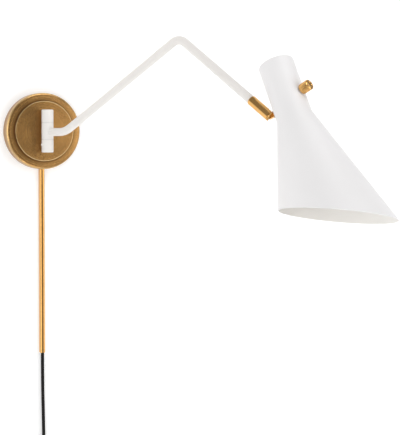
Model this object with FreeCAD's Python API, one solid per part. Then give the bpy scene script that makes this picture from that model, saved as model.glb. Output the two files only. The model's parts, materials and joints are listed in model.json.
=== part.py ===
import FreeCAD, Part
import math
import os

# Plug-in swing arm wall sconce, in millimetres.
# +X runs right along the wall, +Y into the wall, +Z up. The origin is on the wall, at the canopy's centre.

V = FreeCAD.Vector
X_AXIS = V(1, 0, 0)
Y_AXIS = V(0, 1, 0)
Z_AXIS = V(0, 0, 1)

# Gaps
RUN_GAP = 0.06            # radial clearance of a turning fit
FACE_GAP = 0.1            # between flat faces that turn on each other
THROUGH = 1.0             # how far a cutting tool runs past the face that it cuts
SAME = 1e-6               # places closer than this are one place
GROOVE_HALF = 0.45        # half the width of a driver's groove

# Wall side
CANOPY_R = 62.5
CANOPY_DEPTH = 21.0
CANOPY_WALL = 1.2
CANOPY_EDGE_R = 2.2
DISC_R = 49.0
DISC_THICK = 5.2
DISC_CHAMFER = 0.9
BAR_HALF = 55.0
BAR_WIDTH = 22.0
BAR_THICK = 2.0
BAR_RISE = 10.0           # the bar's middle stands this far off the wall
BAR_FLAT_HALF = 22.0
BAR_FOOT_START = 32.0
SLOT_SPACING = 88.9
SLOT_LENGTH = 14.0
SLOT_WIDTH = 5.0
GROUND_SCREW_X = 15.0
GROUND_SCREW_R = 1.8
GROUND_HEAD_R = 3.6
GROUND_HEAD_THICK = 2.2
GROUND_SHANK_END = 3.0
WIRE_NUT_R = 4.6
WIRE_NUT_TIP_R = 2.6
WIRE_NUT_LONG = 15.0
WIRE_NUT_OUT = 10.0
WIRE_NUT_X = 20.0
WIRE_NUT_Z = 22.0
WIRE_R = 0.8              # one insulated conductor
WIRE_APART = 0.95         # conductors in a splice, each from the middle

# Hinge barrel
HINGE_GAP = 5.6           # barrel to the canopy disc
BARREL_R = 9.6
BARREL_HALF = 34.6
CAP_THICK = 3.1
CAP_CHAMFER = 1.0
CAP_SPIGOT = 4.0          # cap's spigot inside the pivot tube
ARM_KNUCKLE_HALF = 13.3
WASHER_THICK = 0.5
WASHER_R = 9.0
PIN_R = 4.0
PIN_BORE_R = 2.9
WEB_WIDTH = 8.0
WEB_ARM_GAP = 0.6
STEM_R = 4.8
STEM_BORE_R = 3.0
STEM_END = 4.0            # the stem's end in front of the wall
NUT_FLATS = 14.0
NUT_THICK = 4.4
NUT_WASHER_R = 9.5
NUT_WASHER_THICK = 1.2
SET_SCREW_R = 1.6
SET_SCREW_Z = -22.0
SET_SCREW_PROUD = 1.1

# Arm
ARM_SWING = 65.0          # from +X towards the room, at rest
TUBE_R = 6.35
TUBE_WALL = 1.2
ARM_DROP = 1.7            # tube axis below the barrel's middle
TUBE_SEAT = 3.6           # how far the tube goes into its knuckle
FIRST_RUN = 41.5          # barrel axis to the first bend
RISE_RUN = 280.0
RISE_ANGLE = 29.3
FALL_RUN = 162.7          # second bend to the tube's end
FALL_ANGLE = 35.0
FIRST_BEND_R = 50.0
PEAK_BEND_R = 22.0
ARM_WIRE_R = 2.3
ARM_WIRE_START = 1.0      # wire starts this far up the tube from its seat
ARM_WIRE_END = 12.0       # wire stops short of the plug in the tube's end

# Swivel at the arm's end: distances run along the tube's end axis from its tip
SWIVEL_TURN = -14.2       # turned from upright at rest
SLEEVE_PROUD = 0.85       # sleeve's radius beyond the tube's
SLEEVE_LONG = 28.0
SLEEVE_LIP = 6.0
SLEEVE_BORE_R = 5.6
SLEEVE_EDGE = 1.3
STUD_STEP = 1.55          # tube's bore to stud, in radius
STUD_BORE_R = 2.0
STUD_SEAT = 10.0          # stud body inside the tube
STUD_REACH = 13.0
STUD_NUT_THICK = 4.0
STUD_NUT_FLATS = 9.0
END_PLUG_LONG = 9.0
PIVOT_ALONG = 35.6
KNUCKLE_END = 42.4
KNUCKLE_EDGE = 1.1        # rounding of the knuckle's end
LAP_SIDE = 1.5            # the lap's face, to the near side of the axis
BACK_GAP = 0.5            # tongue to the full round behind it
END_GROOVE = 40.3         # groove round the end
END_GROOVE_WIDE = 0.6
END_GROOVE_DEEP = 0.4
WIRE_HOLE_R = 1.5
WIRE_HOLE_Y = 3.5
PIVOT_R = 1.9
PIVOT_HEAD_R = 3.1
PIVOT_HEAD_THICK = 1.8
PIVOT_SEAT = 4.2          # screw's thread inside the cheek
SPRING_WASHER_THICK = 0.6
SPRING_WASHER_R = 3.6

# Shade: its own frame has +Z up the neck and +X towards the knob, with its origin where neck and cone meet
SHADE_TILT = 27.6         # shade axis from the arm's end axis, at rest
PIVOT_TO_NECK = 10.63
PIVOT_RISE = 22.3         # pivot above the neck's foot
NECK_R = 24.9
NECK_LONG = 83.9
SHADE_WALL = 1.2
CONE_HALF_ANGLE = 17.1
CUT_ALONG = 147.0         # cut plane crosses the axis this far below the neck
CUT_TILT = 26.1
NECK_EDGE_R = 2.0
VENT_COUNT = 8
VENT_R = 15.5
VENT_HOLE_R = 2.0
TONGUE_R = 5.5
TONGUE_THICK = 4.2
TONGUE_WIDTH = 6.0
TONGUE_DROP = 4.5         # tongue's bar below the pivot
FOOT_R = 5.6
FOOT_THICK = 2.2
FOOT_STUD_R = 2.9
FOOT_NUT_FLATS = 9.0
FOOT_NUT_THICK = 3.4
FOOT_STUD_PAST = 2.0      # stud beyond its nut
WALL_CUT = 6.0            # length of a cutter that crosses the neck's round wall

# Lamp holder
NIPPLE_R = 4.8
NIPPLE_BORE_R = 3.6
NIPPLE_SEAT = 2.0         # nipple inside the finial and the socket's cap
FINIAL_R = 8.0
FINIAL_TALL = 5.0
FINIAL_EDGE = 2.0         # height of its straight edge
FINIAL_SHOULDER_R = 6.4
FINIAL_SHOULDER = 4.0
FINIAL_CROWN_R = 3.6
NIPPLE_NUT_THICK = 3.4
NIPPLE_NUT_FLATS = 13.0
SOCKET_TOP = 4.0          # below the neck's foot
SOCKET_R = 18.6
SOCKET_LONG = 40.0
SOCKET_CAP_R = 14.0
SOCKET_CAP_TALL = 12.0
SOCKET_CAP_WALL = 3.0
SOCKET_EDGE = 1.5
SCREW_R = 13.2            # radius of the lamp's screw shell
SCREW_DEPTH = 26.0
SHELL_THICK = 0.4
CONTACT_R = 3.5
CONTACT_THICK = 1.5
CONTACT_GAP = 0.5         # from the screw shell's end

# Switch and knob
SWITCH_TURN = -12.0       # round the neck from +X, towards the near side
SWITCH_Z = 28.5
SWITCH_R = 8.5
SWITCH_DEPTH = 13.0
SWITCH_HALF = 6.8         # half the height between its flats
SWITCH_FLAT = 0.9         # the switch's front sits this far inside the neck's inner wall
BUSH_R = 3.4
BUSH_PROUD = 3.4
SHAFT_R = 1.9
SHAFT_DEPTH = 7.8         # shaft's bore behind the switch's front
SWITCH_NUT_FLATS = 8.0
SWITCH_NUT_THICK = 1.7
KNOB_GAP = 0.9            # knob to neck
KNOB_LONG = 14.6
KNOB_R = 7.4
KNOB_FLUTES = 18
FLUTE_R = 0.8
FLUTE_SINK = 0.35
KNOB_EDGE = 0.9
KNOB_RECESS_GAP = 0.8     # round the switch nut's corners
KNOB_RECESS_DEPTH = 3.6
KNOB_CAP_R = 4.6
KNOB_CAP_SINK = 0.5
SHAFT_SEAT = 10.8         # shaft inside the knob, from its inner face
GRUB_R = 1.3
GRUB_LONG = 2.8
GRUB_SINK = 1.0

# Cord cover and lead
LEAD_R = 2.75
LEAD_OUT = 5.2            # lead axis in front of the wall
COVER_X = 1.0
COVER_WIDTH = 8.4
COVER_DEPTH = 9.0
COVER_WALL = 0.8
COVER_LONG = 304.0
COVER_EDGE_R = 3.0
COVER_GAP = 0.3           # canopy rim to the cover's top
GROMMET_LONG = 8.0
CLIP_THICK = 0.5
CLIP_TALL = 12.0
CLIP_REACH = 4.0
CLIP_COUNT = 3
LEAD_TOP = -30.0          # lead's end inside the canopy
NOTCH_GAP = 0.6
NOTCH_TALL = 8.0
ARC_SHARE = 0.45          # of the shorter run, taken by the arc at a bend of a cord
COIL_R = 31.0             # middle of the coil's turns
COIL_DROP = 188.2         # coil's centre below the cover's end
TURN_STEP = 5.6
COIL_COLUMNS = 3
COIL_LAYERS = 3
WALL_CLEAR = 0.6          # coil to wall
TIE_THICK = 1.2
TIE_TALL = 12.0
TIE_GAP = 0.5
LEAD_OFFSET = 1.6         # the lead has swung this far right where it meets the coil
TAIL_OUT = 11.8           # tail axis in front of the wall
TAIL_LONG = 36.0
RELIEF_LONG = 20.0
RELIEF_TIP_R = 3.6
RELIEF_FOOT_R = 5.6
PLUG_LONG = 26.0
PLUG_WIDTH = 23.0
PLUG_DEPTH = 14.0
PLUG_CORNER_R = 3.5
BLADE_SPACING = 12.7
BLADE_WIDTH = 6.3
BLADE_THICK = 1.5
BLADE_LONG = 17.0
BLADE_ROOT = 6.0

# Worked out from the sizes above
DISC_FACE = CANOPY_DEPTH + DISC_THICK
HINGE_OUT = DISC_FACE + HINGE_GAP + BARREL_R
BAR_FRONT = BAR_RISE + BAR_THICK
TUBE_BORE_R = TUBE_R - TUBE_WALL
SLEEVE_R = TUBE_R + SLEEVE_PROUD
STUD_R = TUBE_BORE_R - STUD_STEP
BACK_END = PIVOT_ALONG - TONGUE_R - BACK_GAP
TONGUE_NEAR = FACE_GAP - LAP_SIDE
TONGUE_FAR = TONGUE_NEAR + TONGUE_THICK
SHADE_OFFSET = NECK_R + PIVOT_TO_NECK
TONGUE_MIDDLE = (TONGUE_NEAR + TONGUE_FAR) / 2
FOOT_Z = PIVOT_RISE - TONGUE_DROP
CONE_SLOPE = math.tan(math.radians(CONE_HALF_ANGLE))
CUT_SLOPE = math.tan(math.radians(CUT_TILT))
CONE_REACH = (CUT_ALONG + NECK_R * CUT_SLOPE) / (1 - CONE_SLOPE * CUT_SLOPE) + THROUGH
SHELL_LONG = SCREW_DEPTH - SHELL_THICK - CONTACT_THICK - CONTACT_GAP
KNOB_RECESS_R = SWITCH_NUT_FLATS / math.sqrt(3) + KNOB_RECESS_GAP
COVER_TOP = -CANOPY_R - COVER_GAP
COVER_END = COVER_TOP - COVER_LONG
COIL_INNER = COIL_R - (COIL_COLUMNS - 1) / 2 * TURN_STEP - LEAD_R
COIL_OUTER = COIL_R + (COIL_COLUMNS - 1) / 2 * TURN_STEP + LEAD_R
COIL_DEPTH = (COIL_LAYERS - 1) * TURN_STEP + 2 * LEAD_R
COIL_X = COVER_X + LEAD_OFFSET + COIL_R + (COIL_COLUMNS - 1) / 2 * TURN_STEP
COIL_Z = COVER_END - COIL_DROP
LEAD_X = COVER_X + LEAD_OFFSET
TAIL_START = COIL_Z - COIL_R / 2 - LEAD_R
TAIL_END = TAIL_START - TAIL_LONG

# The free lead's route from the cover's end to the coil, chosen by hand
LEAD_ROUTE = [
    V(COVER_X, -LEAD_OUT, COVER_END),
    V(COVER_X, -LEAD_OUT, COVER_END - 54.0),
    V(2.2, -5.6, COVER_END - 112.0),
    V(LEAD_X, -6.2, COVER_END - 166.0),
]
# The tail from the coil down to the plug
TAIL_ROUTE = [
    V(LEAD_X, -TAIL_OUT, TAIL_START),
    V(LEAD_X - 0.7, -TAIL_OUT, (TAIL_START + TAIL_END) / 2),
    V(LEAD_X - 0.7, -TAIL_OUT, TAIL_END),
]

# The right-hand conductors in the canopy: from the lead's end and from the hinge stem, both to a splice
LEAD_SPLIT_ROUTE = [
    V(4.0, -9.0, -23.0),
    V(14.0, -15.4, -14.0),
    V(15.0, -15.4, 6.0),
    V(WIRE_NUT_X + WIRE_APART, -13.0, 15.0),
    V(WIRE_NUT_X + WIRE_APART, -WIRE_NUT_OUT, WIRE_NUT_Z),
]
STEM_SPLIT_ROUTE = [
    V(1.2, -9.0, 0.0),
    V(1.2, -1.9, 1.0),
    V(4.0, -1.9, 11.0),
    V(WIRE_NUT_X - 4.0, -4.0, 14.5),
    V(WIRE_NUT_X - WIRE_APART, -9.0, 17.0),
    V(WIRE_NUT_X - WIRE_APART, -WIRE_NUT_OUT, WIRE_NUT_Z),
]

# Frames of the moving bodies at rest
ARM_FRAME = FreeCAD.Placement(V(0, -HINGE_OUT, 0), FreeCAD.Rotation(Z_AXIS, -ARM_SWING))


def polar(length, degrees):
    angle = math.radians(degrees)
    return V(length * math.cos(angle), 0, length * math.sin(angle))


ARM_START = V(BARREL_R - TUBE_SEAT, 0, -ARM_DROP)
ARM_BEND = V(FIRST_RUN, 0, -ARM_DROP)
ARM_PEAK = ARM_BEND + polar(RISE_RUN, RISE_ANGLE)
ARM_TIP = ARM_PEAK + polar(FALL_RUN, -FALL_ANGLE)
ARM_END_FRAME = ARM_FRAME.multiply(FreeCAD.Placement(ARM_TIP, FreeCAD.Rotation(Y_AXIS, FALL_ANGLE)))
SWIVEL_FRAME = ARM_END_FRAME.multiply(FreeCAD.Placement(V(), FreeCAD.Rotation(X_AXIS, SWIVEL_TURN)))
PIVOT_FRAME = SWIVEL_FRAME.multiply(
    FreeCAD.Placement(V(PIVOT_ALONG, 0, 0), FreeCAD.Rotation(Y_AXIS, SHADE_TILT - 90)))
SHADE_FRAME = PIVOT_FRAME.multiply(FreeCAD.Placement(V(SHADE_OFFSET, 0, -PIVOT_RISE), FreeCAD.Rotation()))
SWITCH_FRAME = SHADE_FRAME.multiply(FreeCAD.Placement(V(), FreeCAD.Rotation(Z_AXIS, SWITCH_TURN)))


# Helpers

def rod(radius, length, base=V(), direction=Z_AXIS):
    return Part.makeCylinder(radius, length, base, direction)


def ring(outer, inner, length, base=V(), direction=Z_AXIS):
    return rod(outer, length, base, direction).cut(rod(inner, length, base, direction))


def block(low, high):
    size = high - low
    return Part.makeBox(size.x, size.y, size.z, low)


def turned(points, axis=Z_AXIS):
    """A solid turned about an axis through the origin, from an outline of (radius, place along the axis)."""
    if axis == Y_AXIS:
        outline = [V(r, h, 0) for r, h in points]
    else:
        outline = [V(r, 0, h) for r, h in points]
    wire = Part.makePolygon(outline + [outline[0]])
    return Part.Face(wire).revolve(V(), axis, 360)


def hexagon(flats, thick, base, direction, bore=0.0):
    corner = flats / math.sqrt(3)
    points = [V(corner * math.cos(math.radians(60 * k)), corner * math.sin(math.radians(60 * k)), 0)
              for k in range(7)]
    prism = Part.Face(Part.makePolygon(points)).extrude(V(0, 0, thick))
    if bore:
        prism = prism.cut(rod(bore, thick))
    return placed(prism, FreeCAD.Placement(base, FreeCAD.Rotation(Z_AXIS, direction)))


def placed(shape, placement):
    copy = shape.copy()
    copy.Placement = placement.multiply(copy.Placement)
    return copy


def route_wire(points, radii):
    """Straight runs joined by tangent arcs of the given radii, one for each inner point."""
    edges = []
    last = points[0]
    for before, corner, after, radius in zip(points, points[1:], points[2:], radii):
        into = (corner - before).normalize()
        out = (after - corner).normalize()
        half_turn = into.getAngle(out) / 2
        tangent = radius * math.tan(half_turn)
        start = corner - into * tangent
        end = corner + out * tangent
        inward = (out - into).normalize()
        middle = corner + inward * (radius / math.cos(half_turn) - radius)
        edges.append(Part.LineSegment(last, start).toShape())
        edges.append(Part.Arc(start, middle, end).toShape())
        last = end
    edges.append(Part.LineSegment(last, points[-1]).toShape())
    return Part.Wire(edges)


def pipe(wire, radius):
    first = wire.Edges[0]
    section = Part.Wire(Part.Circle(first.valueAt(first.FirstParameter),
                                    first.tangentAt(first.FirstParameter), radius).toShape())
    return wire.makePipeShell([section], True, False)


def cord(name, points, radius):
    """A cord's tube; each arc is as large as its two runs allow."""
    radii = []
    for before, corner, after in zip(points, points[1:], points[2:]):
        run = min(before.distanceToPoint(corner), corner.distanceToPoint(after))
        turn = (corner - before).getAngle(after - corner)
        radii.append(ARC_SHARE * run / math.tan(turn / 2))
    wire = route_wire(points, radii)
    tube = pipe(wire, radius)
    print(name, "radii", [round(r) for r in radii], "length", round(wire.Length, 1),
          "volume ratio", round(tube.Volume / (math.pi * radius ** 2 * wire.Length), 4))
    return tube


def save(name, shape, frame=None):
    if frame is not None:
        shape = placed(shape, frame)
    shape.exportStep("parts/" + name + ".step")


# Wall side

def wall_bracket():
    half_w = BAR_WIDTH / 2
    outline = [
        V(BAR_HALF, 0, 0), V(BAR_FOOT_START, 0, 0), V(BAR_FLAT_HALF, -BAR_RISE, 0),
        V(-BAR_FLAT_HALF, -BAR_RISE, 0), V(-BAR_FOOT_START, 0, 0), V(-BAR_HALF, 0, 0), V(-BAR_HALF, -BAR_THICK, 0),
        V(-BAR_FOOT_START + BAR_THICK / 2, -BAR_THICK, 0), V(-BAR_FLAT_HALF - BAR_THICK / 2, -BAR_FRONT, 0),
        V(BAR_FLAT_HALF + BAR_THICK / 2, -BAR_FRONT, 0), V(BAR_FOOT_START - BAR_THICK / 2, -BAR_THICK, 0),
        V(BAR_HALF, -BAR_THICK, 0)]
    outline = [V(p.x, p.y, -half_w) for p in outline]
    bar = Part.Face(Part.makePolygon(outline + [outline[0]])).extrude(V(0, 0, BAR_WIDTH))
    through = BAR_FRONT + THROUGH
    bar = bar.cut(rod(STEM_R, through, V(0, -through, 0), Y_AXIS))
    bar = bar.cut(rod(GROUND_SCREW_R, through, V(GROUND_SCREW_X, -through, 0), Y_AXIS))
    for side in (-1, 1):
        bar = bar.cut(wall_slot(side * SLOT_SPACING / 2))
    return bar


def wall_slot(x):
    straight = (SLOT_LENGTH - SLOT_WIDTH) / 2
    deep = BAR_THICK + THROUGH
    slot = block(V(x - straight, -deep, -SLOT_WIDTH / 2), V(x + straight, THROUGH, SLOT_WIDTH / 2))
    for end in (-straight, straight):
        slot = slot.fuse(rod(SLOT_WIDTH / 2, deep + THROUGH, V(x + end, -deep, 0), Y_AXIS))
    return slot


def ground_screw():
    head = rod(GROUND_HEAD_R, GROUND_HEAD_THICK, V(GROUND_SCREW_X, -BAR_FRONT - GROUND_HEAD_THICK, 0), Y_AXIS)
    shank = rod(GROUND_SCREW_R, BAR_FRONT - GROUND_SHANK_END, V(GROUND_SCREW_X, -BAR_FRONT, 0), Y_AXIS)
    groove = block(V(GROUND_SCREW_X - GROUND_HEAD_R, -BAR_FRONT - GROUND_HEAD_THICK, -GROOVE_HALF),
                   V(GROUND_SCREW_X + GROUND_HEAD_R, -BAR_FRONT - GROUND_HEAD_THICK / 2, GROOVE_HALF))
    return head.fuse(shank).cut(groove)


def canopy():
    """An open-backed pan, with a notch in its rim for the lead."""
    pan = rod(CANOPY_R, CANOPY_DEPTH, V(0, -CANOPY_DEPTH, 0), Y_AXIS)
    front = [e for e in pan.Edges if abs(e.CenterOfMass.y + CANOPY_DEPTH) < SAME]
    pan = pan.makeFillet(CANOPY_EDGE_R, front)
    inner_face = V(0, CANOPY_WALL - CANOPY_DEPTH, 0)
    hollow = rod(CANOPY_R - CANOPY_WALL, CANOPY_DEPTH - CANOPY_WALL, inner_face, Y_AXIS)
    inner = [e for e in hollow.Edges if abs(e.CenterOfMass.y + CANOPY_DEPTH - CANOPY_WALL) < SAME]
    hollow = hollow.makeFillet(CANOPY_EDGE_R - CANOPY_WALL, inner)
    pan = pan.cut(hollow)
    pan = pan.cut(rod(STEM_R, CANOPY_DEPTH, V(0, -CANOPY_DEPTH - THROUGH, 0), Y_AXIS))
    notch_half = LEAD_R + NOTCH_GAP
    low = -CANOPY_R - THROUGH
    high = low + NOTCH_TALL + THROUGH
    notch = block(V(COVER_X - notch_half, -LEAD_OUT, low), V(COVER_X + notch_half, THROUGH, high))
    notch = notch.fuse(rod(notch_half, high - low, V(COVER_X, -LEAD_OUT, low)))
    return pan.cut(notch)


def canopy_disc():
    edge = DISC_R - DISC_CHAMFER
    disc = turned([(STEM_R, -CANOPY_DEPTH), (DISC_R, -CANOPY_DEPTH), (DISC_R, DISC_CHAMFER - DISC_FACE),
                   (edge, -DISC_FACE), (STEM_R, -DISC_FACE)], Y_AXIS)
    return disc


def knuckle(low, high, bore):
    return ring(BARREL_R, bore, high - low, V(0, -HINGE_OUT, low))


def bracket_low():
    return ARM_KNUCKLE_HALF + WASHER_THICK + 2 * FACE_GAP


def hinge_bracket():
    """Upper and lower knuckles on a web, with a hollow threaded stem that passes through the canopy."""
    top = BARREL_HALF - CAP_THICK
    half_web = WEB_WIDTH / 2
    web_front = -(HINGE_OUT - BARREL_R - WEB_ARM_GAP)
    body = block(V(-half_web, web_front, -top), V(half_web, -DISC_FACE, top))
    for low, high in ((bracket_low(), top), (-top, -bracket_low())):
        body = body.fuse(block(V(-half_web, -HINGE_OUT, low), V(half_web, -DISC_FACE, high)))
        body = body.fuse(rod(BARREL_R, high - low, V(0, -HINGE_OUT, low)))
    body = body.cut(rod(PIN_R, 2 * (top + THROUGH), V(0, -HINGE_OUT, -top - THROUGH)))
    body = body.fuse(rod(STEM_R, DISC_FACE - STEM_END, V(0, -DISC_FACE, 0), Y_AXIS))
    reach = -web_front + THROUGH
    body = body.cut(rod(STEM_BORE_R, reach, V(0, -reach, 0), Y_AXIS))
    return body.cut(set_screw_hole()).removeSplitter()


def set_screw_hole():
    return rod(SET_SCREW_R, BARREL_R - PIN_R + THROUGH, V(-BARREL_R - THROUGH, -HINGE_OUT, SET_SCREW_Z), X_AXIS)


def hinge_set_screw():
    long = BARREL_R - PIN_R + SET_SCREW_PROUD
    screw = rod(SET_SCREW_R, long, V(-BARREL_R - SET_SCREW_PROUD, -HINGE_OUT, SET_SCREW_Z), X_AXIS)
    socket = hexagon(SET_SCREW_R, SET_SCREW_PROUD, V(-BARREL_R - SET_SCREW_PROUD, -HINGE_OUT, SET_SCREW_Z), X_AXIS)
    return screw.cut(socket)


def pivot_tube():
    top = BARREL_HALF - CAP_THICK
    return ring(PIN_R, PIN_BORE_R, 2 * top, V(0, -HINGE_OUT, -top))


def barrel_caps():
    caps = []
    top = BARREL_HALF - CAP_THICK
    high = CAP_SPIGOT + CAP_THICK
    for turn in (0, 180):
        cap = turned([(0, 0), (PIN_BORE_R, 0), (PIN_BORE_R, CAP_SPIGOT), (BARREL_R, CAP_SPIGOT),
                      (BARREL_R, high - CAP_CHAMFER), (BARREL_R - CAP_CHAMFER, high), (0, high)])
        cap.translate(V(0, 0, top - CAP_SPIGOT))
        cap.rotate(V(), X_AXIS, turn)
        cap.translate(V(0, -HINGE_OUT, 0))
        caps.append(cap)
    return Part.makeCompound(caps)


def thrust_washers():
    low = ARM_KNUCKLE_HALF + FACE_GAP
    upper = ring(WASHER_R, PIN_R, WASHER_THICK, V(0, -HINGE_OUT, low))
    lower = ring(WASHER_R, PIN_R, WASHER_THICK, V(0, -HINGE_OUT, -low - WASHER_THICK))
    return Part.makeCompound([upper, lower])


def stem_washer():
    return ring(NUT_WASHER_R, STEM_R, NUT_WASHER_THICK, V(0, -BAR_RISE, 0), Y_AXIS)


def stem_nut():
    return hexagon(NUT_FLATS, NUT_THICK, V(0, NUT_WASHER_THICK - BAR_RISE, 0), Y_AXIS, STEM_R)


def wire_nuts():
    nuts = []
    for side in (-1, 1):
        place = V(side * WIRE_NUT_X, -WIRE_NUT_OUT, WIRE_NUT_Z)
        nuts.append(Part.makeCone(WIRE_NUT_R, WIRE_NUT_TIP_R, WIRE_NUT_LONG, place))
    return Part.makeCompound(nuts)


def splice_wires(name, side):
    """The lead's conductor and the lamp's on one side, both running into that side's splice cap."""
    lead_end = V(COVER_X + side * (WIRE_R + FACE_GAP), -LEAD_OUT, LEAD_TOP)
    from_lead = [lead_end] + [V(side * p.x, p.y, p.z) for p in LEAD_SPLIT_ROUTE]
    from_stem = [V(side * p.x, p.y, p.z) for p in STEM_SPLIT_ROUTE]
    return Part.makeCompound([cord(name, from_lead, WIRE_R), cord(name, from_stem, WIRE_R)])


# Arm

def arm_knuckle():
    body = ring(BARREL_R, PIN_R + RUN_GAP, 2 * ARM_KNUCKLE_HALF, V(0, 0, -ARM_KNUCKLE_HALF))
    return body.cut(rod(TUBE_R, TUBE_R + BARREL_R, ARM_START, X_AXIS))


def arm_wire_path(start, end_short):
    tip = ARM_TIP - polar(end_short, -FALL_ANGLE)
    return route_wire([start, ARM_BEND, ARM_PEAK, tip], [FIRST_BEND_R, PEAK_BEND_R])


def arm_tube():
    path = arm_wire_path(ARM_START, 0)
    return pipe(path, TUBE_R).cut(pipe(path, TUBE_BORE_R))


def arm_wire():
    return pipe(arm_wire_path(ARM_START + V(ARM_WIRE_START, 0, 0), ARM_WIRE_END), ARM_WIRE_R)


def arm_stud():
    """Plug pressed into the tube's end, with the stud that the sleeve turns on."""
    body = rod(TUBE_BORE_R, STUD_SEAT, V(-STUD_SEAT, 0, 0), X_AXIS)
    stud = rod(STUD_R, STUD_REACH, V(), X_AXIS)
    bore = rod(STUD_BORE_R, STUD_SEAT + STUD_REACH, V(-STUD_SEAT, 0, 0), X_AXIS)
    return body.fuse(stud).cut(bore)


def stud_nut():
    start = SLEEVE_LIP + 2 * FACE_GAP
    return hexagon(STUD_NUT_FLATS, STUD_NUT_THICK, V(start, 0, 0), X_AXIS, STUD_R)


# Swivel

def swivel_sleeve():
    soft = 0.4 * SLEEVE_EDGE
    outer = turned([(0, FACE_GAP), (SLEEVE_R - SLEEVE_EDGE, FACE_GAP), (SLEEVE_R - soft, FACE_GAP + soft),
                    (SLEEVE_R, SLEEVE_EDGE + FACE_GAP), (SLEEVE_R, SLEEVE_LONG), (0, SLEEVE_LONG)])
    outer = outer.cut(rod(STUD_R + RUN_GAP, SLEEVE_LONG))
    outer = outer.cut(rod(SLEEVE_BORE_R, SLEEVE_LONG - SLEEVE_LIP, V(0, 0, SLEEVE_LIP)))
    outer.rotate(V(), Y_AXIS, 90)
    return outer


def knuckle_end():
    """The arm's half of the lap joint: a plug, a short full round and one long cheek on the near side."""
    plug = rod(SLEEVE_BORE_R, END_PLUG_LONG, V(SLEEVE_LONG - END_PLUG_LONG, 0, 0), X_AXIS)
    round_end = rod(SLEEVE_R, KNUCKLE_END - SLEEVE_LONG, V(SLEEVE_LONG, 0, 0), X_AXIS)
    rim = [e for e in round_end.Edges if abs(e.CenterOfMass.x - KNUCKLE_END) < SAME]
    round_end = round_end.makeFillet(KNUCKLE_EDGE, rim)
    groove = ring(SLEEVE_R, SLEEVE_R - END_GROOVE_DEEP, END_GROOVE_WIDE, V(END_GROOVE, 0, 0), X_AXIS)
    beyond = KNUCKLE_END + THROUGH
    lap = block(V(BACK_END, -LAP_SIDE, -SLEEVE_R - THROUGH), V(beyond, SLEEVE_R + THROUGH, SLEEVE_R + THROUGH))
    end = plug.fuse(round_end).cut([groove, lap])
    end = end.cut(rod(PIVOT_R, PIVOT_SEAT, V(PIVOT_ALONG, -LAP_SIDE - PIVOT_SEAT, 0), Y_AXIS))
    wire_start = SLEEVE_LONG - END_PLUG_LONG
    return end.cut(rod(WIRE_HOLE_R, BACK_END - wire_start, V(wire_start, WIRE_HOLE_Y, 0), X_AXIS))


def spring_washer():
    place = V(PIVOT_ALONG, TONGUE_FAR + FACE_GAP, 0)
    return ring(SPRING_WASHER_R, PIVOT_R, SPRING_WASHER_THICK, place, Y_AXIS)


def pivot_screw():
    """Screwed into the cheek from the far side, through the washer and the tongue."""
    seat = TONGUE_FAR + FACE_GAP + SPRING_WASHER_THICK
    face = seat + PIVOT_HEAD_THICK
    head = rod(PIVOT_HEAD_R, PIVOT_HEAD_THICK, V(PIVOT_ALONG, seat, 0), Y_AXIS)
    outer_edge = [e for e in head.Edges if abs(e.CenterOfMass.y - face) < SAME]
    head = head.makeFillet(PIVOT_HEAD_THICK / 3, outer_edge)
    tip = -LAP_SIDE - PIVOT_SEAT
    shank = rod(PIVOT_R, seat - tip, V(PIVOT_ALONG, tip, 0), Y_AXIS)
    groove = block(V(PIVOT_ALONG - PIVOT_HEAD_R, face - PIVOT_HEAD_THICK / 2, -GROOVE_HALF),
                   V(PIVOT_ALONG + PIVOT_HEAD_R, face, GROOVE_HALF))
    return head.fuse(shank).cut(groove)


# Shade

def knuckle_tongue():
    """The shade's half of the lap joint, with a foot on the neck and a stud through its wall."""
    disc = rod(TONGUE_R, TONGUE_THICK, V(-SHADE_OFFSET, TONGUE_NEAR, PIVOT_RISE), Y_AXIS)
    foot_start = -NECK_R - FOOT_THICK
    bar = block(V(-SHADE_OFFSET, TONGUE_NEAR, FOOT_Z - TONGUE_WIDTH / 2),
                V(foot_start + THROUGH, TONGUE_FAR, FOOT_Z + TONGUE_WIDTH / 2))
    foot = rod(FOOT_R, NECK_R, V(foot_start, TONGUE_MIDDLE, FOOT_Z), X_AXIS)
    foot = foot.common(block(V(foot_start, TONGUE_NEAR, FOOT_Z - FOOT_R), V(0, FOOT_R + TONGUE_FAR, FOOT_Z + FOOT_R)))
    foot = foot.cut(rod(NECK_R, 2 * (FOOT_R + THROUGH), V(0, 0, FOOT_Z - FOOT_R - THROUGH)))
    stud_long = SHADE_WALL + FOOT_NUT_THICK + FOOT_STUD_PAST
    stud = rod(FOOT_STUD_R, stud_long, V(-NECK_R, TONGUE_MIDDLE, FOOT_Z), X_AXIS)
    tongue = disc.fuse([bar, foot, stud])
    return tongue.cut(rod(PIVOT_R + RUN_GAP, TONGUE_THICK, V(-SHADE_OFFSET, TONGUE_NEAR, PIVOT_RISE), Y_AXIS))


def foot_nut():
    inner = NECK_R - SHADE_WALL
    start = -math.sqrt(inner ** 2 - (TONGUE_MIDDLE + FOOT_NUT_FLATS / math.sqrt(3)) ** 2)
    return hexagon(FOOT_NUT_FLATS, FOOT_NUT_THICK, V(start, TONGUE_MIDDLE, FOOT_Z), X_AXIS, FOOT_STUD_R)


def shade_blank(radius, low_radius, top, reach):
    """Neck and cone, joined at the neck's foot."""
    return turned([(0, top), (radius, top), (radius, 0), (low_radius, -reach), (0, -reach)])


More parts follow.
